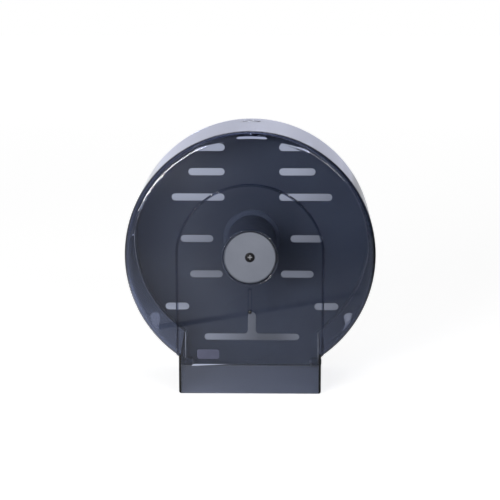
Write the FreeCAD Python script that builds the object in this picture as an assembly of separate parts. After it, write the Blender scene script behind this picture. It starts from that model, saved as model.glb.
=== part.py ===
import FreeCAD, Part

import math
import os

# Jumbo toilet roll dispenser: a smoked drum cover that drops forward on two
# hinge pins, a slotted wall plate, a turning roll hub on a fixed spindle and a
# cam lock in the top of the cover. Millimetres, +Z up, the wall is the plane
# y = 0, the front faces -Y and the hub axis runs through the origin.
# A depth is a distance in front of the wall.

# Cover shell
drum_radius = 135.0
drum_draft = 1.0
face_depth = 120.5
cover_wall = 2.5
rim_round = 8.5
wall_gap = 1.5
panel_step = 3.0
panel_edge = 1.3
skirt_half_width = 76.9
skirt_draft = 1.8
skirt_below_drum = 15.1
skirt_corner = 2.5
panel_flare = 2.75
arch_bulge = 0.65
arch_drop = 1.0
arch_blend = 14.0

# Hub hole with its dark trim ring, guide groove with its stud and blank badge
# plate on the cover's raised panel
hub_gap = 0.8
ring_wall = 0.6
ring_stand = 0.4
ring_gap = 0.02
lip_width = 2.0
lip_height = 0.9
groove_width = 2.8
groove_length = 24.5
groove_offset = 6.0
groove_sink = 1.9
groove_rib_wall = 1.0
stud_radius = 1.9
stud_gap = 0.02
stud_dome = 0.7
badge_width = 24.0
badge_height = 10.6
badge_round = 2.4
badge_sheet = 0.5
badge_edge = 0.2
badge_side_inset = 19.9
badge_bottom_inset = 38.8

# Wall plate
plate_side_gap = 0.5
plate_web = 3.0
plate_rim = 7.0
rim_wall = 2.0
plate_gap = 0.5
plate_foot_gap = 2.1
plate_corner = 6.0
slot_height = 8.5
tee_bar_height = 8.0
tee_stem_width = 9.0
tee_fillet = 4.5
pad_ring_radius = 38.5
pad_ring_width = 1.2
pad_ring_raise = 0.6
pad_ring_foot = 3.5

# Slot places as shares of the plate's radius: height, inner end, outer end
side_slot_shares = (
    (0.778, 0.231, 0.506),
    (0.569, 0.232, 0.540),
    (0.351, 0.233, 0.684),
    (-0.008, 0.331, 0.609),
    (-0.317, 0.250, 0.530),
    (-0.601, 0.540, 0.745),
)
top_slot_height_share = 0.878
top_slot_reach_share = 0.132
tee_drop_share = 0.870
tee_reach_share = 0.409
tee_top_share = 0.650

# Hinge at the lower rear corners
hinge_round = 6.5
pin_radius = 2.0
pin_head_radius = 3.4
pin_head_height = 1.4
pin_running_gap = 0.08
pin_seat_gap = 0.02
ear_width = 7.0
ear_radius = 4.4
ear_side_gap = 0.3
clip_radius = 3.8
clip_height = 1.0
clip_gap = 0.1
pin_tail = 1.2

# Spindle and roll hub
flange_radius = 32.5
flange_height = 3.0
flange_edge = 1.2
spindle_radius = 10.5
spindle_bore = 2.6
spindle_bore_depth = 24.0
disc_radius = 27.5
disc_height = 3.5
disc_edge = 0.6
disc_set_back = 1.5
disc_boss_radius = 8.5
disc_rib_inner = 13.0
disc_rib_outer = 16.0
sleeve_radius = 27.0
sleeve_wall = 2.2
sleeve_chamfer = 1.0
collar_radius = 28.4
collar_height = 1.5
bearing_wall = 2.2
spoke_width = 1.8
spoke_count = 6
bush_wall = 2.4
bush_length = 12.0
bush_flange = 1.5
bush_flange_radius = 15.0
bush_running_gap = 0.06
bush_seat_gap = 0.02
washer_height = 1.5
washer_radius = 17.0
washer_gap = 0.1
end_float = 0.3

# Hub screw and its insert
screw_radius = 2.0
screw_head_radius = 4.9
screw_head_height = 2.4
screw_dome = 0.5
screw_length = 20.0
counterbore_radius = 5.3
head_set_back = 1.0
recess_span = 4.6
recess_width = 0.9
recess_depth = 1.5
insert_radius = 3.6
insert_length = 12.0
insert_flange_radius = 4.6
insert_flange_height = 0.8
thread_gap = 0.02

# Countersunk screws that hold the spindle to the plate from behind
base_screw_radius = 1.75
base_screw_head_radius = 3.4
base_screw_head_height = 1.9
base_screw_length = 5.2
base_screw_circle = 22.0
base_screw_count = 3

# Cam lock in the cover's top wall
lock_depth = 22.0
lock_head_radius = 10.0
lock_head_height = 1.3
barrel_radius = 8.0
barrel_length = 4.8
barrel_gap = 0.1
boss_radius = 13.0
boss_height = 3.2
clip_sheet = 0.9
clip_slack = 0.05
clip_cut = 1.0
clip_arm = 3.0
clip_overhang = 2.0
plug_radius = 5.5
plug_running_gap = 0.06
plug_set_back = 0.2
plug_tail = 1.1
keyway_width = 1.8
keyway_length = 7.4
keyway_depth = 4.0
square_side = 5.0
square_gap = 0.04
cam_sheet = 2.0
cam_reach = 13.0
cam_width = 8.0
cam_hub_radius = 5.6
cam_gap = 0.1
small_washer_radius = 4.4
small_washer_height = 0.5
cam_screw_radius = 1.5
cam_screw_head_radius = 2.9
cam_screw_head_height = 1.7
cam_screw_length = 5.0

# Strike bracket on the plate that the turned cam hooks behind
strike_sheet = 1.5
strike_height = 4.4
strike_set_down = 0.8
strike_side_gap = 2.0
strike_lip_gap = 1.1
strike_lip = 8.5
strike_foot = 10.0
strike_screw_radius = 1.5
strike_screw_head_radius = 2.6
strike_screw_head_height = 1.6
strike_screw_length = 3.8

# One length by which every cutter runs past what it cuts
overrun = 5.0

AXIS_X = FreeCAD.Vector(1, 0, 0)
AXIS_Y = FreeCAD.Vector(0, 1, 0)
AXIS_Z = FreeCAD.Vector(0, 0, 1)

# Places that follow from the sizes above
panel_front = face_depth + panel_step
panel_inside = panel_front - cover_wall
ring_radius = disc_radius + hub_gap + ring_wall
hole_radius = ring_radius + ring_gap
skirt_drop = drum_radius + skirt_below_drum
panel_half_width = skirt_half_width + panel_flare
arch_radius = panel_half_width + arch_bulge
rim_draft = drum_draft * (face_depth - rim_round - plate_rim) / (face_depth - rim_round - wall_gap)
plate_radius = drum_radius + rim_draft - cover_wall - plate_side_gap
plate_bottom = skirt_drop - plate_foot_gap
pad_ring_drop = plate_bottom - pad_ring_foot - pad_ring_radius
pivot_depth = wall_gap + hinge_round
pivot_height = -(skirt_drop - hinge_round)
hinge_side = skirt_half_width + skirt_draft * (panel_front - pivot_depth) / (panel_front - wall_gap)
skirt_inside = hinge_side - cover_wall
plate_half_width = skirt_inside - plate_gap
groove_top = -(hole_radius + groove_offset)
stud_drop = groove_length - groove_top
disc_front = panel_front - disc_set_back
disc_back = disc_front - disc_height
spindle_front = disc_back - bush_flange - washer_gap
base_front = plate_web + flange_height
rear_washer_front = base_front + washer_height
rear_bush_back = rear_washer_front + end_float
bearing_back = rear_bush_back + bush_flange
front_washer_back = spindle_front - washer_gap - washer_height
bearing_front = front_washer_back - end_float - bush_flange
bearing_bore = spindle_radius + bush_running_gap + bush_wall
head_floor = disc_front - head_set_back - screw_head_height - screw_dome


def vec(x=0, y=0, z=0):
    return FreeCAD.Vector(x, y, z)


def line(start, end):
    return Part.LineSegment(start, end).toShape()


def arc(start, middle, end):
    return Part.Arc(start, middle, end).toShape()


def bar_y(radius, front, back, x=0, z=0):
    """Round bar square to the wall, between two depths."""
    return Part.makeCylinder(radius, front - back, vec(x, -front, z), AXIS_Y)


def bar_x(radius, start, end, depth, z):
    """Round bar along X between two places."""
    return Part.makeCylinder(radius, end - start, vec(start, -depth, z), AXIS_X)


def bar_z(radius, low, high, depth, x=0):
    """Upright round bar between two heights."""
    return Part.makeCylinder(radius, high - low, vec(x, -depth, low), AXIS_Z)


def block(left, right, front, back, low, high):
    """Box between two sides, two depths and two heights."""
    return Part.makeBox(right - left, front - back, high - low, vec(left, -front, low))


def tube_y(outer, inner, front, back):
    return bar_y(outer, front, back).cut(bar_y(inner, front + overrun, back - overrun))


def slot_y(left, right, height, z, front, back):
    """Round-ended slot along X, as deep as the two depths."""
    radius = height / 2
    body = block(left + radius, right - radius, front, back, z - radius, z + radius)
    ends = [bar_y(radius, front, back, x, z) for x in (left + radius, right - radius)]
    return body.multiFuse(ends)


def edges_where(shape, test):
    return [edge for edge in shape.Edges if test(edge)]


def runs_in_depth(edge):
    return edge.BoundBox.YLength > max(edge.BoundBox.XLength, edge.BoundBox.ZLength)


def is_round_about(edge, radius, depth):
    curve = edge.Curve
    if not hasattr(curve, "Radius"):
        return False
    near = panel_edge / 10
    return abs(curve.Radius - radius) < near and abs(curve.Center.y + depth) < near


def joined(shape):
    return shape.removeSplitter()


def export(shape, node):
    shape.exportStep("parts/" + node + ".step")


def side_radius(depth):
    """The cover's outer radius at a depth: it widens a little towards the wall."""
    straight = face_depth - rim_round
    return drum_radius + drum_draft * (straight - depth) / (straight - wall_gap)


# Front cover

def drum_solid(inset, back):
    """Drafted drum with a rounded front rim, inset from the outside all over."""
    face = face_depth - inset
    rim = rim_round - inset
    side = drum_radius - inset
    pulled_in = rim * (1 - math.sqrt(0.5))
    axis_front = vec(0, -face)
    flat_end = vec(side - rim, -face)
    rim_middle = vec(side - pulled_in, -face + pulled_in)
    side_front = vec(side, -face + rim)
    side_back = vec(side_radius(back) - inset, -back)
    axis_back = vec(0, -back)
    edges = [
        line(axis_front, flat_end),
        arc(flat_end, rim_middle, side_front),
        line(side_front, side_back),
        line(side_back, axis_back),
        line(axis_back, axis_front),
    ]
    return Part.Face(Part.Wire(edges)).revolve(vec(), AXIS_Y, 360)


def arch_solid(inset):
    """Arch-topped block with straight sides, as the raised panel is seen from the front."""
    front = panel_front - inset
    half = panel_half_width - inset
    radius = arch_radius - inset
    shoulder = math.sqrt(radius ** 2 - half ** 2) - arch_drop
    left_foot = vec(-half, -front, -drum_radius)
    right_foot = vec(half, -front, -drum_radius)
    right_shoulder = vec(half, -front, shoulder)
    crown = vec(0, -front, radius - arch_drop)
    left_shoulder = vec(-half, -front, shoulder)
    edges = [
        line(left_foot, right_foot),
        line(right_foot, right_shoulder),
        arc(right_shoulder, crown, left_shoulder),
        line(left_shoulder, left_foot),
    ]
    panel = Part.Face(Part.Wire(edges)).extrude(vec(0, panel_step + rim_round))
    shoulders = edges_where(panel, lambda e: runs_in_depth(e) and e.BoundBox.ZMin > 0)
    return panel.makeFillet(arch_blend, shoulders)


def raised_drum(inset):
    drum = drum_solid(inset, wall_gap)
    drum.translate(vec(0, -panel_step))
    return drum


def front_outline(shape):
    return edges_where(shape, lambda e: e.BoundBox.YMax < -face_depth)


def outer_panel():
    """Raised panel: it stands proud of the drum's face and follows the drum's rounded rim."""
    panel = arch_solid(0)
    return panel.makeFillet(panel_edge, front_outline(panel)).common(raised_drum(0))


def inner_panel():
    return arch_solid(cover_wall).common(raised_drum(cover_wall))


def skirt_side(depth):
    """The skirt's outer half width at a depth: it widens a little towards the wall."""
    return skirt_half_width + skirt_draft * (panel_front - depth) / (panel_front - wall_gap)


def skirt_solid(inset, back, bottom):
    """Drafted block from the hub's level down to the foot of the skirt."""
    front = panel_front - inset
    front_half = skirt_side(front) - inset
    back_half = skirt_side(back) - inset
    front_left = vec(-front_half, -front, bottom)
    front_right = vec(front_half, -front, bottom)
    back_right = vec(back_half, -back, bottom)
    back_left = vec(-back_half, -back, bottom)
    edges = [
        line(front_left, front_right),
        line(front_right, back_right),
        line(back_right, back_left),
        line(back_left, front_left),
    ]
    return Part.Face(Part.Wire(edges)).extrude(vec(0, 0, -bottom))


def outer_skirt():
    skirt = skirt_solid(0, wall_gap, -skirt_drop)
    corners = edges_where(skirt, lambda e: runs_in_depth(e) and e.BoundBox.ZMax < pivot_height)
    skirt = skirt.makeFillet(skirt_corner, corners)
    return skirt.makeFillet(panel_edge, front_outline(skirt))


def hinge_corner_cutter():
    """What is taken off the lower rear corners so that they turn clear of the wall."""
    side = hinge_side + overrun
    corner = block(-side, side, pivot_depth, -overrun, -skirt_drop - overrun, pivot_height)
    return corner.cut(bar_x(hinge_round, -side - overrun, side + overrun, pivot_depth, pivot_height))


def hole_lip():
    """Rounded bead round the hub hole."""
    inner = vec(hole_radius, -panel_front)
    crest = vec(hole_radius + lip_width / 2, -panel_front - lip_height)
    outer = vec(hole_radius + lip_width, -panel_front)
    outer_root = vec(hole_radius + lip_width, -panel_inside)
    inner_root = vec(hole_radius, -panel_inside)
    edges = [
        arc(inner, crest, outer),
        line(outer, outer_root),
        line(outer_root, inner_root),
        line(inner_root, inner),
    ]
    return Part.Face(Part.Wire(edges)).revolve(vec(), AXIS_Y, 360)


def upright_slot(radius, front, back):
    """Round-ended upright slot below the hub hole that ends at the stud."""
    top = groove_top - groove_width / 2
    body = block(-radius, radius, front, back, -stud_drop, top)
    return body.multiFuse([bar_y(radius, front, back, 0, z) for z in (top, -stud_drop)])


def guide_groove():
    return upright_slot(groove_width / 2, panel_front + overrun, panel_front - groove_sink)


def groove_rib():
    """Rib inside the panel that carries the wall round the guide groove."""
    radius = groove_width / 2 + groove_rib_wall
    return upright_slot(radius, panel_front - cover_wall / 2, panel_inside - groove_sink)


def front_cover():
    top = side_radius(lock_depth)
    outside = drum_solid(0, wall_gap).multiFuse([outer_panel(), outer_skirt()])
    inner_skirt = skirt_solid(cover_wall, -overrun, -skirt_drop - overrun)
    inside = drum_solid(cover_wall, -overrun).multiFuse([inner_panel(), inner_skirt])
    shell = outside.cut(inside)
    lock_boss = bar_z(boss_radius, top - lock_head_height - boss_height, top, lock_depth).common(outside)
    washers = []
    for side in (-1, 1):
        face = side * (plate_half_width + ear_side_gap)
        wall = side * (skirt_inside + cover_wall / 2)
        washers.append(bar_x(ear_radius, min(face, wall), max(face, wall), pivot_depth, pivot_height))
    shell = shell.multiFuse([lock_boss, hole_lip(), groove_rib()] + washers)
    reach = hinge_side + overrun
    cutters = [
        bar_y(hole_radius, panel_front + overrun, panel_inside - overrun),
        guide_groove(),
        bar_y(stud_radius + stud_gap, panel_front + overrun, panel_inside - overrun, 0, -stud_drop),
        hinge_corner_cutter(),
        bar_x(pin_radius + pin_running_gap, -reach, reach, pivot_depth, pivot_height),
        bar_z(lock_head_radius + barrel_gap, top - lock_head_height, top + overrun, lock_depth),
        bar_z(barrel_radius + barrel_gap, top - boss_height - overrun, top + overrun, lock_depth),
    ]
    for cutter in cutters:
        shell = shell.cut(cutter)
    return joined(shell)


def hub_ring():
    """Dark trim ring pressed into the cover's hub hole."""
    return tube_y(ring_radius, ring_radius - ring_wall, panel_front + ring_stand, panel_inside)


def blank_badge():
    """Blank plate low on the left of the panel, with its front edges eased."""
    left = -skirt_half_width + badge_side_inset
    low = -skirt_drop + badge_bottom_inset
    front = panel_front + badge_sheet
    plate = block(left, left + badge_width, front, panel_front, low, low + badge_height)
    plate = plate.makeFillet(badge_round, edges_where(plate, runs_in_depth))
    return plate.makeFillet(badge_edge, edges_where(plate, lambda e: e.BoundBox.YMax < -panel_front))


def guide_stud():
    """Dark push-in stud with a domed end, at the foot of the guide groove."""
    dome_radius = (stud_radius ** 2 + stud_dome ** 2) / (2 * stud_dome)
    body = bar_y(stud_radius, panel_front, panel_inside - groove_sink, 0, -stud_drop)
    dome = Part.makeSphere(dome_radius, vec(0, dome_radius - panel_front - stud_dome, -stud_drop))
    dome = dome.common(bar_y(stud_radius, panel_front + overrun, panel_front - stud_dome, 0, -stud_drop))
    return joined(body.fuse(dome))


# Wall plate

def plate_outline(inset, front, back, bottom):
    """Round plate with a straight-sided tail, as deep as the two depths."""
    half = plate_half_width - inset
    disc = bar_y(plate_radius - inset, front, back)
    tail = block(-half, half, front, back, bottom, 0)
    return joined(disc.fuse(tail))


def tee_slot():
    """Upside-down T at the bottom, with fillets where the stem meets the bar."""
    front = plate_web + overrun
    drop = tee_drop_share * plate_radius
    reach = tee_reach_share * plate_radius
    stem = tee_stem_width / 2
    stem_top = -tee_top_share * plate_radius - stem
    bar_top = -drop + tee_bar_height / 2
    bar = slot_y(-reach, reach, tee_bar_height, -drop, front, -overrun)
    upright = block(-stem, stem, front, -overrun, -drop, stem_top)
    cap = bar_y(stem, front, -overrun, 0, stem_top)
    corners = []
    for side in (-1, 1):
        inner = side * stem
        outer = side * (stem + tee_fillet)
        high = bar_top + tee_fillet
        corner = block(min(inner, outer), max(inner, outer), front, -overrun, -drop, high)
        corners.append(corner.cut(bar_y(tee_fillet, front + overrun, -overrun - overrun, outer, high)))
    return bar.multiFuse([upright, cap] + corners)


def plate_slots():
    front = plate_web + overrun
    reach = top_slot_reach_share * plate_radius
    slots = [slot_y(-reach, reach, slot_height, top_slot_height_share * plate_radius, front, -overrun)]
    for height_share, inner_share, outer_share in side_slot_shares:
        z = height_share * plate_radius
        inner = inner_share * plate_radius
        outer = outer_share * plate_radius
        slots.append(slot_y(-outer, -inner, slot_height, z, front, -overrun))
        slots.append(slot_y(inner, outer, slot_height, z, front, -overrun))
    return slots + [tee_slot()]


def hinge_ear(side):
    """Block at the plate's lower corner that carries one hinge pin."""
    outer = side * plate_half_width
    inner = side * (plate_half_width - ear_width)
    left, right = min(outer, inner), max(outer, inner)
    barrel = bar_x(ear_radius, left, right, pivot_depth, pivot_height)
    root = block(left, right, pivot_depth, 0, pivot_height - ear_radius, pivot_height + ear_radius)
    return barrel.fuse(root)


def base_screw_places():
    turn = 2 * math.pi / base_screw_count
    angles = [math.pi / 2 + turn * index for index in range(base_screw_count)]
    return [(base_screw_circle * math.cos(a), base_screw_circle * math.sin(a)) for a in angles]


def strike_screw_place():
    x = cam_reach + strike_side_gap - strike_foot / 2
    return x, strike_top() - strike_height / 2


def back_plate():
    web = plate_outline(0, plate_web, 0, -plate_bottom)
    corners = edges_where(web, lambda e: runs_in_depth(e) and e.BoundBox.ZMax < pivot_height)
    web = web.makeFillet(plate_corner, corners)
    rim_outside = plate_outline(0, plate_rim, 0, pivot_height)
    rim = rim_outside.cut(plate_outline(rim_wall, plate_rim + overrun, -overrun, pivot_height - overrun))
    pad_outer = bar_y(pad_ring_radius, plate_web + pad_ring_raise, 0, 0, -pad_ring_drop)
    pad_inner = bar_y(pad_ring_radius - pad_ring_width, plate_web + overrun, -overrun, 0, -pad_ring_drop)
    plate = web.multiFuse([rim, pad_outer.cut(pad_inner), hinge_ear(-1), hinge_ear(1)])
    x, z = strike_screw_place()
    reach = plate_half_width + overrun
    cutters = plate_slots() + [
        bar_x(pin_radius + pin_seat_gap, -reach, reach, pivot_depth, pivot_height),
        bar_y(strike_screw_radius + thread_gap, plate_web + overrun, -overrun, x, z),
    ]
    for x, z in base_screw_places():
        cutters.append(bar_y(base_screw_radius + thread_gap, plate_web + overrun, -overrun, x, z))
        cutters.append(base_screw_head(x, z, thread_gap))
    for cutter in cutters:
        plate = plate.cut(cutter)
    return joined(plate)


# Hinge pins

def hinge_pin(side):
    seat = hinge_side + clip_gap
    tail = plate_half_width - ear_width - clip_gap - clip_height - pin_tail
    shank = bar_x(pin_radius, tail, seat, pivot_depth, pivot_height)
    head = bar_x(pin_head_radius, seat, seat + pin_head_height, pivot_depth, pivot_height)
    rounded = edges_where(head, lambda e: e.BoundBox.XMin > seat + pin_head_height / 2)
    head = head.makeFillet(pin_head_height / 2, rounded)
    pin = joined(shank.fuse(head))
    return pin if side > 0 else pin.mirror(vec(), AXIS_X)


def pin_clip(side):
    """Push-on ring that keeps a hinge pin in its ear."""
    end = plate_half_width - ear_width - clip_gap
    ring = bar_x(clip_radius, end - clip_height, end, pivot_depth, pivot_height)
    seat_radius = pin_radius + pin_seat_gap
    tail = end - clip_height - overrun
    ring = ring.cut(bar_x(seat_radius, tail, end + overrun, pivot_depth, pivot_height))
    return ring if side > 0 else ring.mirror(vec(), AXIS_X)


# Spindle and what is screwed to it

def base_screw_head(x, z, slack=0):
    """Countersunk head, flush with the back of the plate."""
    cone = Part.makeCone(base_screw_radius + slack, base_screw_head_radius + slack, base_screw_head_height,
                         vec(x, -base_screw_head_height, z), AXIS_Y)
    return cone


def base_screws():
    screws = []
    for x, z in base_screw_places():
        shank = bar_y(base_screw_radius, base_screw_length, base_screw_head_height / 2, x, z)
        screw = shank.fuse(base_screw_head(x, z))
        screws.append(joined(screw))
    return Part.makeCompound(screws)


def hub_spindle():
    flange = bar_y(flange_radius, base_front, plate_web)
    front_edge = edges_where(flange, lambda e: is_round_about(e, flange_radius, base_front))
    flange = flange.makeFillet(flange_edge, front_edge)
    post = bar_y(spindle_radius, spindle_front, plate_web)
    spindle = flange.fuse(post)
    flange_floor = spindle_front - insert_flange_height
    cutters = [
        bar_y(insert_flange_radius + thread_gap, spindle_front + overrun, flange_floor),
        bar_y(insert_radius + thread_gap, spindle_front + overrun, flange_floor - insert_length),
        bar_y(spindle_bore, spindle_front + overrun, spindle_front - spindle_bore_depth),
    ]
    for x, z in base_screw_places():
        cutters.append(bar_y(base_screw_radius + thread_gap, base_screw_length + thread_gap, 0, x, z))
    for cutter in cutters:
        spindle = spindle.cut(cutter)
    return joined(spindle)


def threaded_insert():
    body = bar_y(insert_radius, spindle_front, spindle_front - insert_flange_height - insert_length)
    flange = bar_y(insert_flange_radius, spindle_front, spindle_front - insert_flange_height)
    bore = bar_y(screw_radius + thread_gap, spindle_front + overrun, spindle_front - insert_length - overrun)
    return joined(body.fuse(flange).cut(bore))


def plain_washer(front):
    return tube_y(washer_radius, spindle_radius + washer_gap, front, front - washer_height)


def hub_disc():
    """Light disc that closes the hub and holds the turning sleeve on its spindle."""
    disc = bar_y(disc_radius, disc_front, disc_back)
    disc = disc.makeFillet(disc_edge, edges_where(disc, lambda e: is_round_about(e, disc_radius, disc_front)))
    boss = bar_y(disc_boss_radius, disc_back, spindle_front)
    rib = tube_y(disc_rib_outer, disc_rib_inner, disc_back, front_washer_back + washer_height)
    disc = disc.multiFuse([boss, rib])
    disc = disc.cut(bar_y(counterbore_radius, disc_front + overrun, head_floor))
    disc = disc.cut(bar_y(screw_radius + washer_gap, disc_front + overrun, spindle_front - overrun))
    return joined(disc)


def cross_recess(front):
    long = recess_span / 2
    short = recess_width / 2
    floor = front - recess_depth
    level_arm = block(-long, long, front + overrun, floor, -short, short)
    upright_arm = block(-short, short, front + overrun, floor, -long, long)
    return level_arm.fuse(upright_arm)


def hub_screw():
    head_front = head_floor + screw_head_height
    head = bar_y(screw_head_radius, head_front, head_floor)
    dome_radius = (screw_head_radius ** 2 + screw_dome ** 2) / (2 * screw_dome)
    dome = Part.makeSphere(dome_radius, vec(0, -head_front - screw_dome + dome_radius))
    dome = dome.common(bar_y(screw_head_radius, head_front + screw_dome + overrun, head_front - screw_dome))
    shank = bar_y(screw_radius, head_floor, head_floor - screw_length)
    screw = head.multiFuse([dome, shank])
    return joined(screw.cut(cross_recess(head_front + screw_dome)))


# Turning roll hub

def roll_hub():
    front = disc_back - end_float
    back = base_front + end_float
    sleeve = bar_y(sleeve_radius, front, back)
    ends = edges_where(sleeve, lambda e: e.BoundBox.YLength < sleeve_chamfer)
    sleeve = sleeve.makeChamfer(sleeve_chamfer, ends)
    sleeve = sleeve.fuse(bar_y(collar_radius, front, front - collar_height))
    sleeve = sleeve.cut(bar_y(sleeve_radius - sleeve_wall, front + overrun, back - overrun))
    bearing = bar_y(bearing_bore + bearing_wall, bearing_front, bearing_back)
    spokes = []
    for index in range(spoke_count):
        reach = sleeve_radius - sleeve_wall / 2
        spoke = block(0, reach, bearing_front, bearing_back, -spoke_width / 2, spoke_width / 2)
        spoke.rotate(vec(), AXIS_Y, 360 * index / spoke_count)
        spokes.append(spoke)
    hub = sleeve.multiFuse([bearing] + spokes)
    return joined(hub.cut(bar_y(bearing_bore, front + overrun, back - overrun)))


def bush(flange_front, body_front, body_back):
    """Flanged bush: its flange stands against one end of the hub's bearing tube."""
    outer = bearing_bore - bush_seat_gap
    flange = bar_y(bush_flange_radius, flange_front, flange_front - bush_flange)
    body = bar_y(outer, body_front, body_back)
    bore = bar_y(spindle_radius + bush_running_gap, body_front + overrun, body_back - overrun)
    return joined(flange.fuse(body).cut(bore))


def rear_bush():
    return bush(bearing_back, bearing_back + bush_length, rear_bush_back)


def front_bush():
    return bush(bearing_front + bush_flange, bearing_front + bush_flange, bearing_front - bush_length)


# Cam lock

def lock_top():
    return side_radius(lock_depth)


def boss_bottom():
    return lock_top() - lock_head_height - boss_height


def barrel_bottom():
    return lock_top() - lock_head_height - barrel_length


def plug_shoulder():
    return barrel_bottom() - plug_tail


def cam_top():
    return plug_shoulder() - cam_gap


def strike_top():
    return cam_top() - strike_set_down


def lock_body():
    top = lock_top()
    head = bar_z(lock_head_radius, top - lock_head_height, top, lock_depth)
    barrel = bar_z(barrel_radius, barrel_bottom(), top, lock_depth)
    body = head.fuse(barrel)
    bore_radius = plug_radius + plug_running_gap
    body = body.cut(bar_z(bore_radius, barrel_bottom() - overrun, top + overrun, lock_depth))
    high = boss_bottom()
    low = high - clip_sheet - clip_slack
    for side in (-1, 1):
        inner = side * (barrel_radius - clip_cut)
        outer = side * (barrel_radius + overrun)
        front = lock_depth + barrel_radius + overrun
        back = lock_depth - barrel_radius - overrun
        body = body.cut(block(min(inner, outer), max(inner, outer), front, back, low, high))
    return joined(body)


def lock_clip():
    """Sprung fork that slides on to the barrel's two flats under the boss."""
    high = boss_bottom() - clip_slack / 2
    low = high - clip_sheet
    inner = barrel_radius - clip_cut + clip_slack
    outer = inner + clip_arm
    back = lock_depth - barrel_radius
    front = lock_depth + barrel_radius + clip_overhang
    arms = [block(side * inner if side > 0 else -outer, outer if side > 0 else -inner, front, back, low, high)
            for side in (-1, 1)]
    bridge = block(-outer, outer, front + clip_arm, front, low, high)
    return joined(bridge.multiFuse(arms))


def lock_plug():
    top = lock_top() - plug_set_back
    body = bar_z(plug_radius, plug_shoulder(), top, lock_depth)
    half = square_side / 2
    square = block(-half, half, lock_depth + half, lock_depth - half, cam_top() - cam_sheet, plug_shoulder())
    plug = body.fuse(square)
    keyway = block(-keyway_width / 2, keyway_width / 2, lock_depth + keyway_length / 2,
                   lock_depth - keyway_length / 2, top - keyway_depth, top + overrun)
    thread = bar_z(cam_screw_radius + thread_gap, plug_shoulder() - overrun,
                   cam_top() - cam_sheet + cam_screw_length - small_washer_height + thread_gap, lock_depth)
    return joined(plug.cut(keyway).cut(thread))


def lock_cam():
    """Flat arm that points back at the plate when the lock is open."""
    high = cam_top()
    low = high - cam_sheet
    half = cam_width / 2
    tip = lock_depth - cam_reach + half
    hub = bar_z(cam_hub_radius, low, high, lock_depth)
    arm = block(-half, half, lock_depth, tip, low, high)
    cam = hub.multiFuse([arm, bar_z(half, low, high, tip)])
    half_hole = square_side / 2 + square_gap
    front = lock_depth + half_hole
    back = lock_depth - half_hole
    return joined(cam.cut(block(-half_hole, half_hole, front, back, low - overrun, high + overrun)))


def cam_washer():
    high = cam_top() - cam_sheet
    ring = bar_z(small_washer_radius, high - small_washer_height, high, lock_depth)
    return ring.cut(bar_z(cam_screw_radius + washer_gap, high - overrun, high + overrun, lock_depth))


def cam_screw():
    seat = cam_top() - cam_sheet - small_washer_height
    head = bar_z(cam_screw_head_radius, seat - cam_screw_head_height, seat, lock_depth)
    rounded = edges_where(head, lambda e: e.BoundBox.ZMax < seat - cam_screw_head_height / 2)
    head = head.makeFillet(cam_screw_head_height / 2, rounded)
    return joined(head.fuse(bar_z(cam_screw_radius, seat, seat + cam_screw_length, lock_depth)))


# Strike bracket

def lock_strike():
    """Bent strip: a foot on the plate, a leg beside the cam and a lip in front of it."""
    high = strike_top()
    low = high - strike_height
    near = cam_reach + strike_side_gap
    far = near + strike_sheet
    lip_back = lock_depth + cam_width / 2 + strike_lip_gap
    lip_front = lip_back + strike_sheet
    leg = block(near, far, lip_front, plate_web, low, high)
    foot = block(near - strike_foot, far, plate_web + strike_sheet, plate_web, low, high)
    lip = block(near - strike_lip, far, lip_front, lip_back, low, high)
    strike = leg.multiFuse([foot, lip])
    x, z = strike_screw_place()
    return joined(strike.cut(bar_y(strike_screw_radius + thread_gap, lip_back, 0, x, z)))


def strike_screw():
    x, z = strike_screw_place()
    seat = plate_web + strike_sheet
    head = bar_y(strike_screw_head_radius, seat + strike_screw_head_height, seat, x, z)
    rounded = edges_where(head, lambda e: e.BoundBox.YMax < -seat - strike_screw_head_height / 2)
    head = head.makeFillet(strike_screw_head_height / 2, rounded)
    return joined(head.fuse(bar_y(strike_screw_radius, seat, seat - strike_screw_length, x, z)))


NODES = {
    "front_cover": front_cover,
    "hub_ring": hub_ring,
    "guide_stud": guide_stud,
    "blank_badge": blank_badge,
    "back_plate": back_plate,
    "hinge_pin_left": lambda: hinge_pin(-1),
    "hinge_pin_right": lambda: hinge_pin(1),
    "pin_clip_left": lambda: pin_clip(-1),
    "pin_clip_right": lambda: pin_clip(1),
    "hub_spindle": hub_spindle,
    "spindle_screws": base_screws,
    "rear_washer": lambda: plain_washer(rear_washer_front),
    "front_washer": lambda: plain_washer(front_washer_back + washer_height),
    "threaded_insert": threaded_insert,
    "hub_disc": hub_disc,
    "hub_screw": hub_screw,
    "roll_hub": roll_hub,
    "rear_bush": rear_bush,
    "front_bush": front_bush,
    "lock_body": lock_body,
    "lock_clip": lock_clip,
    "lock_plug": lock_plug,
    "lock_cam": lock_cam,
    "cam_washer": cam_washer,
    "cam_screw": cam_screw,
    "lock_strike": lock_strike,
    "strike_screw": strike_screw,
}

os.makedirs("parts", exist_ok=True)
for node, make in NODES.items():
    export(make(), node)
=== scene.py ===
import math

import bpy
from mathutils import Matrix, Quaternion, Vector


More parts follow.
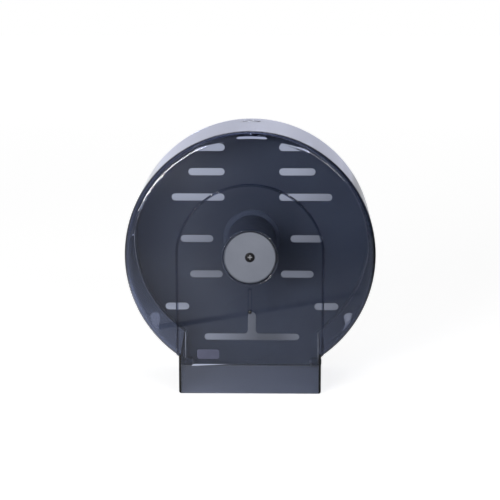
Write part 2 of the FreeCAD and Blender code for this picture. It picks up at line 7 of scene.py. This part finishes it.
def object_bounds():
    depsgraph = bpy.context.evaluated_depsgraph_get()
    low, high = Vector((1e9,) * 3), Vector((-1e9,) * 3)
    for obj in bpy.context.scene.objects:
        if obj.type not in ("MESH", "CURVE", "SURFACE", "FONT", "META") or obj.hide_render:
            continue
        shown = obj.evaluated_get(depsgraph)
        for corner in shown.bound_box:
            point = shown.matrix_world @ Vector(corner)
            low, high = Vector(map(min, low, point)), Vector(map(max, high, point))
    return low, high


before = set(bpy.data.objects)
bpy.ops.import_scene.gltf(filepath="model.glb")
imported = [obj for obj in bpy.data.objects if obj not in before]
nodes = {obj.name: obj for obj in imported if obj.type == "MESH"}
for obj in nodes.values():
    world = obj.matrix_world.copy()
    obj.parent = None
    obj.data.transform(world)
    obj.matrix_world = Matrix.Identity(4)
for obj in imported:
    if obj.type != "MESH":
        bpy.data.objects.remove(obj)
cad_low, cad_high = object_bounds()


# Node helpers. A span is (from, to, result at from, result at to)

def new_material(name):
    mat = bpy.data.materials.new(name)
    mat.use_nodes = True
    mat.node_tree.nodes.clear()
    return mat


def put(tree, node, key, value):
    """Link a socket to one of the node's inputs, or set the input to a plain value."""
    target = node.inputs[key]
    if isinstance(value, bpy.types.NodeSocket):
        tree.links.new(value, target)
    else:
        target.default_value = value


def add(tree, kind, **values):
    """New node with some of its inputs filled in."""
    node = tree.nodes.new(kind)
    for key, value in values.items():
        put(tree, node, key, value)
    return node


def colour(r, g, b):
    return (r, g, b, 1.0)


def place_of(tree):
    """Position in the object's own frame, in metres."""
    return add(tree, "ShaderNodeTexCoord").outputs["Object"]


def parts_of(tree, vector):
    """The X, Y and Z parts of a vector."""
    split = add(tree, "ShaderNodeSeparateXYZ", Vector=vector)
    return [split.outputs[axis] for axis in "XYZ"]


def noise(tree, vector, scale, detail=3.0, rough=0.5):
    node = add(tree, "ShaderNodeTexNoise", Vector=vector, Scale=scale, Detail=detail, Roughness=rough)
    return node.outputs["Fac"]


def ramp(tree, factor, stops):
    """Colour ramp through (place, colour) stops."""
    node = add(tree, "ShaderNodeValToRGB", Fac=factor)
    elements = node.color_ramp.elements
    for element, (place, shade) in zip(elements, stops):
        element.position = place
        element.color = shade
    return node.outputs["Color"]


def remap(tree, value, span):
    """The span's result for a value, held level past the span's ends."""
    node = add(tree, "ShaderNodeMapRange", Value=value)
    for key, number in zip(("From Min", "From Max", "To Min", "To Max"), span):
        node.inputs[key].default_value = number
    return node.outputs["Result"]


def math_node(tree, operation, *values):
    node = tree.nodes.new("ShaderNodeMath")
    node.operation = operation
    for index, value in enumerate(values):
        put(tree, node, index, value)
    return node.outputs[0]


def product(tree, first, *others):
    for other in others:
        first = math_node(tree, "MULTIPLY", first, other)
    return first


def total(tree, first, *others):
    for other in others:
        first = math_node(tree, "ADD", first, other)
    return first


def less(tree, first, second):
    """First take away second."""
    return math_node(tree, "SUBTRACT", first, second)


def length(tree, first, second):
    return math_node(tree, "SQRT", total(tree, product(tree, first, first), product(tree, second, second)))


def within(tree, value, middle, reach):
    """1 where the value lies less than reach from the middle, else 0."""
    off = math_node(tree, "ABSOLUTE", less(tree, value, middle))
    return math_node(tree, "LESS_THAN", off, reach)


def mixed(tree, first, second, share):
    """Value that goes from first to second as the share goes from 0 to 1."""
    return total(tree, first, product(tree, less(tree, second, first), share))


def mixed_colour(tree, first, second, share):
    """Colour that goes from first to second as the share goes from 0 to 1."""
    node = tree.nodes.new("ShaderNodeMix")
    node.data_type = "RGBA"
    put(tree, node, "Factor", share)
    put(tree, node, 6, first)
    put(tree, node, 7, second)
    return node.outputs[2]


def mixed_shader(tree, first, second, share):
    node = tree.nodes.new("ShaderNodeMixShader")
    for index, value in enumerate((share, first.outputs[0], second.outputs[0])):
        tree.links.new(value, node.inputs[index])
    return node


def bump(tree, height, distance, strength):
    node = add(tree, "ShaderNodeBump", Height=height, Distance=distance, Strength=strength)
    return node.outputs["Normal"]


def finish_surface(tree, shader, volume=None):
    out = tree.nodes.new("ShaderNodeOutputMaterial")
    tree.links.new(shader.outputs[0], out.inputs["Surface"])
    if volume is not None:
        tree.links.new(volume.outputs[0], out.inputs["Volume"])


# Materials

SMOKE_TINT = colour(0.10, 0.168, 0.354)
SMOKE_DENSITY = 400.0
WIPED_ROUGH = (0.35, 0.75, 0.010, 0.036)
FLOW_DEPTH = 0.00002


def smoked_cover():
    """Smoked see-through moulding: clear gloss with faint wipe marks and a tinted body."""
    mat = new_material("smoked_cover")
    tree = mat.node_tree
    at = place_of(tree)
    tint = ramp(tree, noise(tree, at, 9.0), [
        (0.35, colour(0.955, 0.962, 0.975)),
        (0.65, colour(0.985, 0.988, 0.995)),
    ])
    body = add(tree, "ShaderNodeBsdfPrincipled")
    put(tree, body, "Base Color", tint)
    put(tree, body, "Roughness", remap(tree, noise(tree, at, 34.0, 4.0, 0.6), WIPED_ROUGH))
    put(tree, body, "Normal", bump(tree, noise(tree, at, 22.0, 1.0), FLOW_DEPTH, 0.4))
    body.inputs["IOR"].default_value = 1.49
    body.inputs["Transmission Weight"].default_value = 1.0
    # The lamps' light passes the clear wall without being bent
    open_to_lamps = add(tree, "ShaderNodeBsdfTransparent")
    open_to_lamps.inputs["Color"].default_value = colour(0.94, 0.945, 0.955)
    path = add(tree, "ShaderNodeLightPath")
    smoke = add(tree, "ShaderNodeVolumeAbsorption")
    smoke.inputs["Color"].default_value = SMOKE_TINT
    smoke.inputs["Density"].default_value = SMOKE_DENSITY
    finish_surface(tree, mixed_shader(tree, body, open_to_lamps, path.outputs["Is Shadow Ray"]), smoke)
    return mat


# Painted shade round the hub: from 50 mm to 88 mm off the axis the colour goes from 0.78 of itself to full
HUB_SHADE_SPAN = (0.050, 0.088, 0.78, 1.0)


def painted_hub_shade(tree, at, shade):
    """Colour darkened round the hub's axis as painted shade, fading out with the distance from the axis."""
    x, _, z = parts_of(tree, at)
    scaled = tree.nodes.new("ShaderNodeVectorMath")
    scaled.operation = "SCALE"
    tree.links.new(shade, scaled.inputs[0])
    put(tree, scaled, "Scale", remap(tree, length(tree, x, z), HUB_SHADE_SPAN))
    return scaled.outputs[0]


def moulded(name, dark, light, rough, grain, depth, mottling=14.0, hub_shade=False):
    """Moulded plastic: slightly mottled colour, fine spark texture and uneven gloss."""
    mat = new_material(name)
    tree = mat.node_tree
    at = place_of(tree)
    shade = ramp(tree, noise(tree, at, mottling, 4.0, 0.6), [(0.32, dark), (0.68, light)])
    # Painted shade on the colour round the hub's axis
    if hub_shade:
        shade = painted_hub_shade(tree, at, shade)
    gloss = noise(tree, at, mottling * 3.1, 3.0)
    body = add(tree, "ShaderNodeBsdfPrincipled")
    put(tree, body, "Base Color", shade)
    put(tree, body, "Roughness", remap(tree, gloss, (0.3, 0.7) + rough))
    put(tree, body, "Normal", bump(tree, noise(tree, at, grain, 2.0, 0.6), depth, 0.6))
    body.inputs["IOR"].default_value = 1.5
    finish_surface(tree, body)
    return mat


def metal(name, dark, light, rough, grain, depth, mottling=60.0):
    """Plated or turned metal with spangle, fine grain and handling marks."""
    mat = new_material(name)
    tree = mat.node_tree
    at = place_of(tree)
    shade = ramp(tree, noise(tree, at, mottling, 5.0, 0.65), [(0.3, dark), (0.7, light)])
    gloss = noise(tree, at, mottling * 4.0, 4.0)
    body = add(tree, "ShaderNodeBsdfPrincipled")
    put(tree, body, "Base Color", shade)
    put(tree, body, "Roughness", remap(tree, gloss, (0.3, 0.7) + rough))
    put(tree, body, "Normal", bump(tree, noise(tree, at, grain, 2.0), depth, 0.5))
    body.inputs["Metallic"].default_value = 1.0
    finish_surface(tree, body)
    return mat


RECESS_HALF_SPAN = 0.0024
RECESS_HALF_WIDTH = 0.00055


def hub_screw_steel():
    """Blackened head whose cross recess is bare, scuffed steel."""
    mat = new_material("hub_screw_steel")
    tree = mat.node_tree
    at = place_of(tree)
    x, _, z = parts_of(tree, at)
    side = math_node(tree, "ABSOLUTE", x)
    rise = math_node(tree, "ABSOLUTE", z)
    in_arm = math_node(tree, "LESS_THAN", math_node(tree, "MINIMUM", side, rise), RECESS_HALF_WIDTH)
    in_span = math_node(tree, "LESS_THAN", math_node(tree, "MAXIMUM", side, rise), RECESS_HALF_SPAN)
    recess = product(tree, in_arm, in_span)
    wear = noise(tree, at, 700.0, 4.0)
    black = ramp(tree, wear, [(0.35, colour(0.005, 0.005, 0.006)), (0.7, colour(0.014, 0.014, 0.016))])
    bare = ramp(tree, wear, [(0.3, colour(0.42, 0.42, 0.43)), (0.7, colour(0.62, 0.62, 0.63))])
    body = add(tree, "ShaderNodeBsdfPrincipled")
    put(tree, body, "Base Color", mixed_colour(tree, black, bare, recess))
    put(tree, body, "Roughness", remap(tree, wear, (0.3, 0.7, 0.3, 0.5)))
    put(tree, body, "Metallic", recess)
    body.inputs["Specular IOR Level"].default_value = 0.2
    put(tree, body, "Normal", bump(tree, wear, 0.00003, 0.5))
    finish_surface(tree, body)
    return mat


cover_smoke = smoked_cover()
# The plate's colour has painted shade round the hub
plate_charcoal = moulded(
    "plate_charcoal", dark=colour(0.156, 0.168, 0.178), light=colour(0.179, 0.192, 0.204),
    rough=(0.42, 0.58), grain=2600.0, depth=0.00006, hub_shade=True)
hub_charcoal = moulded(
    "hub_charcoal", dark=colour(0.175, 0.187, 0.205), light=colour(0.20, 0.214, 0.235),
    rough=(0.40, 0.52), grain=2200.0, depth=0.00003, mottling=30.0)
badge_violet = moulded(
    "badge_violet", dark=colour(0.074, 0.079, 0.128), light=colour(0.088, 0.094, 0.150),
    rough=(0.28, 0.42), grain=3400.0, depth=0.00002, mottling=120.0)
trim_black = moulded(
    "trim_black", dark=colour(0.010, 0.010, 0.011), light=colour(0.018, 0.018, 0.020),
    rough=(0.16, 0.28), grain=3600.0, depth=0.00002, mottling=90.0)
disc_grey = moulded(
    "disc_grey", dark=colour(0.153, 0.167, 0.207), light=colour(0.176, 0.191, 0.233),
    rough=(0.5, 0.62), grain=3200.0, depth=0.00004, mottling=26.0)
bush_white = moulded(
    "bush_white", dark=colour(0.62, 0.62, 0.58), light=colour(0.74, 0.74, 0.70),
    rough=(0.35, 0.5), grain=3000.0, depth=0.00003, mottling=60.0)
zinc_steel = metal(
    "zinc_steel", dark=colour(0.42, 0.43, 0.45), light=colour(0.62, 0.63, 0.64),
    rough=(0.28, 0.5), grain=5200.0, depth=0.00003)
insert_brass = metal(
    "insert_brass", dark=colour(0.52, 0.36, 0.14), light=colour(0.72, 0.54, 0.25),
    rough=(0.22, 0.4), grain=5200.0, depth=0.00003)
lock_nickel = metal(
    "lock_nickel", dark=colour(0.52, 0.53, 0.56), light=colour(0.60, 0.61, 0.64),
    rough=(0.38, 0.5), grain=6000.0, depth=0.00002)
screw_steel = hub_screw_steel()

# Material, slot and the nodes that carry them
FINISHES = [
    (cover_smoke, "smoked_cover", ["front_cover"]),
    (trim_black, "trim_black", ["hub_ring", "guide_stud"]),
    (badge_violet, "badge_violet", ["blank_badge"]),
    (plate_charcoal, "charcoal_plate", ["back_plate"]),
    (hub_charcoal, "hub_charcoal", ["hub_spindle", "roll_hub"]),
    (disc_grey, "disc_grey", ["hub_disc"]),
    (screw_steel, "dark_screw", ["hub_screw"]),
    (bush_white, "bush_white", ["rear_bush", "front_bush"]),
    (insert_brass, "insert_brass", ["threaded_insert"]),
    (lock_nickel, "lock_chrome", ["lock_body", "lock_plug"]),
    (zinc_steel, "zinc_steel", [
        "hinge_pin_left", "hinge_pin_right", "pin_clip_left", "pin_clip_right", "spindle_screws",
        "rear_washer", "front_washer", "lock_clip", "lock_cam", "cam_washer", "cam_screw",
        "lock_strike", "strike_screw",
    ]),
]


def dress(piece, material):
    if not piece.material_slots:
        piece.data.materials.append(None)
    for place in piece.material_slots:
        place.link = "OBJECT"
        place.material = material


for finish, finish_slot, node_names in FINISHES:
    for node_name in node_names:
        dress(nodes[node_name], finish)


# Stage: a white table, a white backdrop behind it, a dim room in front, two lamps and the camera

TABLE_GAP = 0.0001
TABLE_HEIGHT = cad_low.z - TABLE_GAP
TABLE_REACH = 6.0
TABLE_ALBEDO = 0.62
TABLE_WHITE = (0.5, 4.0, 0.74, 0.82)
AMBIENT = 0.335
SKY_TINT = colour(0.92, 0.95, 1.13)
TABLE_TINT = colour(0.97, 0.985, 1.03)
SKY_TINT_FROM = (1.8, 3.6, 0.0, 1.0)


def first_look(tree):
    """1 for gloss and clear plastic seen by the camera, 0 for light on its way to a matt surface."""
    path = add(tree, "ShaderNodeLightPath")
    clear = math_node(tree, "MAXIMUM", path.outputs["Is Glossy Ray"], path.outputs["Is Transmission Ray"])
    straight = math_node(tree, "LESS_THAN", path.outputs["Diffuse Depth"], 0.5)
    return path, product(tree, clear, straight)


# Levels by a direction's side part, from -1 at the left to 1 at the right
ROOM_LEAN = (-0.09, 0.03, 1.0, 0.0)
ROOM_DARK = 0.03
ROOM_WINDOW = 0.42
BACKDROP_BY_SIDE = [
    (-0.06, 0.0, 0.92, 1.03),
    (-0.3, -0.18, 0.5, 1.0),
    (0.06, 0.2, 1.0, 0.55),
    (0.2, 0.6, 1.0, 0.25),
]


def room_level(tree, side):
    """The dim room in front of the object, with a window's glow far left."""
    lean = remap(tree, side, ROOM_LEAN)
    return total(tree, ROOM_DARK, product(tree, lean, lean, ROOM_WINDOW))


def backdrop_level(tree, side):
    """The white backdrop behind the object."""
    return product(tree, *[remap(tree, side, span) for span in BACKDROP_BY_SIDE])


# In front of the table's edge, which runs a little askew: levels by y, the depth in metres
TABLE_EDGE = -0.511
EDGE_SLANT = 0.78
EDGE_WIDTH = 0.030
EDGE_SHADE = 0.8
ROOM_FLOOR = (-1.1, -0.9, 1.0, 1.25)
ROOM_BACK = (-1.8, -1.5, 0.8, 0.0)
ROOM_UNDER_EDGE = (-0.85, -0.6, 1.0, 0.72)
ROOM_GLOW = (-0.95, -0.65, 0.0, 0.24)

# The table in front of the object: levels by x
NEAR_LEFT = (-0.1, 0.0, 0.36, 0.0)
NEAR_RIGHT = (0.0, 0.1, 0.42, 0.38)

# The table behind the object: painted light, brighter with distance and to the left
RISE_CLOSE = (0.3, 0.6, 0.54, 0.34)
RISE_FAR = (0.70, 1.35, 0.36, 0.78)
RIGHT_BY_X = [(0.06, 0.12, 1.05, 0.75), (0.25, 0.5, 1.0, 0.15)]
LEFT_BY_X = (-0.25, -0.07, 1.0, 0.0)
LEFT_BY_Y = (0.9, 1.2, 1.0, 0.22)
FAR_LEFT = (-0.6, -0.25, 0.45, 1.0)
BESIDE_BY_X = [(-0.12, -0.07, 1.28, 1.0), (-0.5, -0.3, 0.7, 1.0), (0.07, 0.13, 1.0, 0.8)]
BESIDE_END = (0.28, 0.32, 0.0, 1.0)
BACKDROP_FROM = (1.4, 3.0, 0.0, 1.0)
BEHIND_FROM = (-0.1, 0.0, 0.0, 1.0)

# Painted shadow of the object on the table behind it, and painted shade close to its foot
SHADOW_MIDDLE = 0.018
SHADOW_BY_X = (0.01, 0.07, 1.0, 0.0)
SHADOW_BY_Y = (0.3, 0.5, 0.6, 0.0)
CONTACT_HALF_WIDTH = 0.08
CONTACT_BY_Y = (0.0, 0.12, 0.2, 1.0)

# A painted lit strip of table that shows under the left half of the plate's foot
SLIVER_SLANT = 0.228
SLIVER_START = 0.0117
SLIVER_MIDDLE = -0.0405
SLIVER_HALF_LENGTH = 0.0285
SLIVER_REACH = 0.03
SLIVER_LEVEL = 1.1
SLIVER_GLOW = 0.9


def sliver(tree, x, y):
    """1 on the painted lit strip, 0 elsewhere."""
    past = less(tree, y, product(tree, x, SLIVER_SLANT))
    started = math_node(tree, "GREATER_THAN", past, SLIVER_START)
    along = within(tree, x, SLIVER_MIDDLE, SLIVER_HALF_LENGTH)
    return product(tree, started, along, within(tree, y, 0.0, SLIVER_REACH))


def front_level(tree, x, y, side):
    """The table in front of the object, and the dim room beyond its edge."""
    by_depth = total(tree, remap(tree, y, ROOM_FLOOR), remap(tree, y, ROOM_BACK))
    room = product(tree, room_level(tree, side), by_depth, remap(tree, y, ROOM_UNDER_EDGE))
    room = total(tree, room, remap(tree, y, ROOM_GLOW))
    edge = total(tree, y, product(tree, x, EDGE_SLANT))
    beyond = math_node(tree, "LESS_THAN", edge, TABLE_EDGE)
    in_edge = product(tree, beyond, math_node(tree, "GREATER_THAN", edge, TABLE_EDGE - EDGE_WIDTH))
    room = product(tree, room, less(tree, 1.0, product(tree, in_edge, EDGE_SHADE)))
    near = total(tree, remap(tree, x, NEAR_LEFT), remap(tree, x, NEAR_RIGHT))
    return mixed(tree, near, room, beyond)


def behind_level(tree, x, y, side):
    """The table behind the object, with painted light, a painted shadow and painted shade at the foot, and
    the backdrop past it.
    """
    rise = math_node(tree, "MAXIMUM", remap(tree, y, RISE_CLOSE), remap(tree, y, RISE_FAR))
    right = product(tree, *[remap(tree, x, span) for span in RIGHT_BY_X])
    left = product(tree, remap(tree, x, LEFT_BY_X), remap(tree, y, LEFT_BY_Y))
    beside = product(tree, *[remap(tree, x, span) for span in BESIDE_BY_X])
    beside = mixed(tree, beside, 1.0, remap(tree, y, BESIDE_END))
    lit = product(tree, rise, total(tree, left, right), remap(tree, x, FAR_LEFT), beside)
    off = math_node(tree, "ABSOLUTE", less(tree, x, SHADOW_MIDDLE))
    shadow = product(tree, remap(tree, off, SHADOW_BY_X), remap(tree, y, SHADOW_BY_Y))
    close = within(tree, x, 0.0, CONTACT_HALF_WIDTH)
    contact = mixed(tree, 1.0, remap(tree, y, CONTACT_BY_Y), close)
    level = product(tree, lit, contact, less(tree, 1.0, shadow))
    level = mixed(tree, level, backdrop_level(tree, side), remap(tree, y, BACKDROP_FROM))
    return mixed(tree, level, SLIVER_LEVEL, sliver(tree, x, y))


def table_level(tree, x, y):
    """What gloss and clear plastic show of the table's plane, painted light and shade included."""
    side = math_node(tree, "DIVIDE", x, length(tree, x, y))
    front = front_level(tree, x, y, side)
    return mixed(tree, front, behind_level(tree, x, y, side), remap(tree, y, BEHIND_FROM))


# Painted light on the table under the foot, brighter to the left, seen only by gloss and clear plastic
FOOT_HALF_WIDTH = 0.078
FOOT_HALF_DEPTH = 0.0625
FOOT_GLOW = (-0.08, 0.08, 0.09, 0.01)


def table_white():
    """Matt white top that gloss and clear plastic show at the levels above, which hold painted light and
    shade.
    """
    mat = new_material("table_white")
    tree = mat.node_tree
    x, y, _ = parts_of(tree, place_of(tree))
    path, seen = first_look(tree)
    matte = add(tree, "ShaderNodeBsdfDiffuse", Color=colour(TABLE_ALBEDO, TABLE_ALBEDO, TABLE_ALBEDO))
    white = product(tree, path.outputs["Is Camera Ray"], remap(tree, y, TABLE_WHITE))
    # Painted light under the foot and on the lit strip
    under_glow = mixed(tree, remap(tree, x, FOOT_GLOW), SLIVER_GLOW, sliver(tree, x, y))
    glow = add(tree, "ShaderNodeEmission", Strength=total(tree, white, product(tree, seen, under_glow)))
    lit = tree.nodes.new("ShaderNodeAddShader")
    tree.links.new(matte.outputs[0], lit.inputs[0])
    tree.links.new(glow.outputs[0], lit.inputs[1])
    # Under the object itself gloss and clear plastic show the lit table, with the painted light under the
    # foot added, instead
    in_width = within(tree, x, 0.0, FOOT_HALF_WIDTH)
    in_depth = within(tree, y, -FOOT_HALF_DEPTH, FOOT_HALF_DEPTH)
    outside = less(tree, 1.0, product(tree, in_width, in_depth))
    tint = mixed_colour(tree, TABLE_TINT, SKY_TINT, remap(tree, y, SKY_TINT_FROM))
    shown = add(tree, "ShaderNodeEmission", Color=tint, Strength=table_level(tree, x, y))
    finish_surface(tree, mixed_shader(tree, lit, shown, product(tree, outside, seen)))
    return mat


def table():
    mesh = bpy.data.meshes.new("table")
    corners = [(-1, -1, 0), (1, -1, 0), (1, 1, 0), (-1, 1, 0)]
    mesh.from_pydata([Vector(corner) * TABLE_REACH for corner in corners], [], [(0, 1, 2, 3)])
    mesh.materials.append(table_white())
    top = bpy.data.objects.new("table", mesh)
    top.location.z = TABLE_HEIGHT
    bpy.context.scene.collection.objects.link(top)


BACKDROP_TURN = (-1.0, 1.0, 0.0, 0.5)
BACKDROP_START = (0.0, 0.3, 0.0, 1.0)
BACKDROP_TOP = (0.75, 0.9, 1.0, 0.0)


def surroundings():
    """Even pale light for matt surfaces; gloss shows the backdrop, the dim room and a dark ceiling."""
    world = bpy.data.worlds.new("studio")
    bpy.context.scene.world = world
    world.use_nodes = True
    tree = world.node_tree
    tree.nodes.clear()
    x, y, z = parts_of(tree, add(tree, "ShaderNodeTexCoord").outputs["Generated"])
    # The backdrop reaches further round on the left than on the right
    behind = remap(tree, less(tree, y, remap(tree, x, BACKDROP_TURN)), BACKDROP_START)
    level = mixed(tree, room_level(tree, x), backdrop_level(tree, x), behind)
    level = product(tree, level, remap(tree, z, BACKDROP_TOP))
    path, seen = first_look(tree)
    strength = mixed(tree, mixed(tree, AMBIENT, level, seen), 1.0, path.outputs["Is Camera Ray"])
    tint = mixed_colour(tree, colour(1.0, 1.0, 1.0), SKY_TINT, seen)
    back = add(tree, "ShaderNodeBackground", Color=tint, Strength=strength)
    out = tree.nodes.new("ShaderNodeOutputWorld")
    tree.links.new(back.outputs[0], out.inputs["Surface"])


def soft_box(name, azimuth, elevation, roll, distance, width, height, power):
    """Strip lamp on a sphere round the object; azimuth 0 is the front, positive to the right."""
    data = bpy.data.lights.new(name, "AREA")
    data.shape = "RECTANGLE"
    data.size = width
    data.size_y = height
    data.energy = power
    lamp = bpy.data.objects.new(name, data)
    a, e = math.radians(azimuth), math.radians(elevation)
    away = Vector((math.sin(a) * math.cos(e), -math.cos(a) * math.cos(e), math.sin(e)))
    lamp.location = away * distance
    turn = away.to_track_quat("Z", "Y") @ Quaternion((0, 0, 1), math.radians(roll))
    lamp.rotation_euler = turn.to_euler()
    lamp.visible_camera = False
    bpy.context.scene.collection.objects.link(lamp)


CAMERA_PLACE = (0.03349, -1.92677, 0.34869)
CAMERA_DOWN = 10.68
CAMERA_LEFT = 1.06
CAMERA_LENS = 123.768
CAMERA_SENSOR = 36.0


def camera():
    """Camera at the photograph's viewing angle."""
    data = bpy.data.cameras.new("camera")
    data.lens = CAMERA_LENS
    data.sensor_width = CAMERA_SENSOR
    eye = bpy.data.objects.new("camera", data)
    eye.location = CAMERA_PLACE
    eye.rotation_euler = (math.radians(90 - CAMERA_DOWN), 0.0, math.radians(CAMERA_LEFT))
    bpy.context.scene.collection.objects.link(eye)
    bpy.context.scene.camera = eye


table()
surroundings()
soft_box("key", azimuth=-25.0, elevation=12.2, roll=20.0, distance=1.5, width=0.72, height=0.25, power=12.8)
soft_box("fill", azimuth=29.0, elevation=26.0, roll=-30.0, distance=1.6, width=0.60, height=0.20, power=3.2)
camera()

bpy.context.scene.view_settings.view_transform = "Standard"
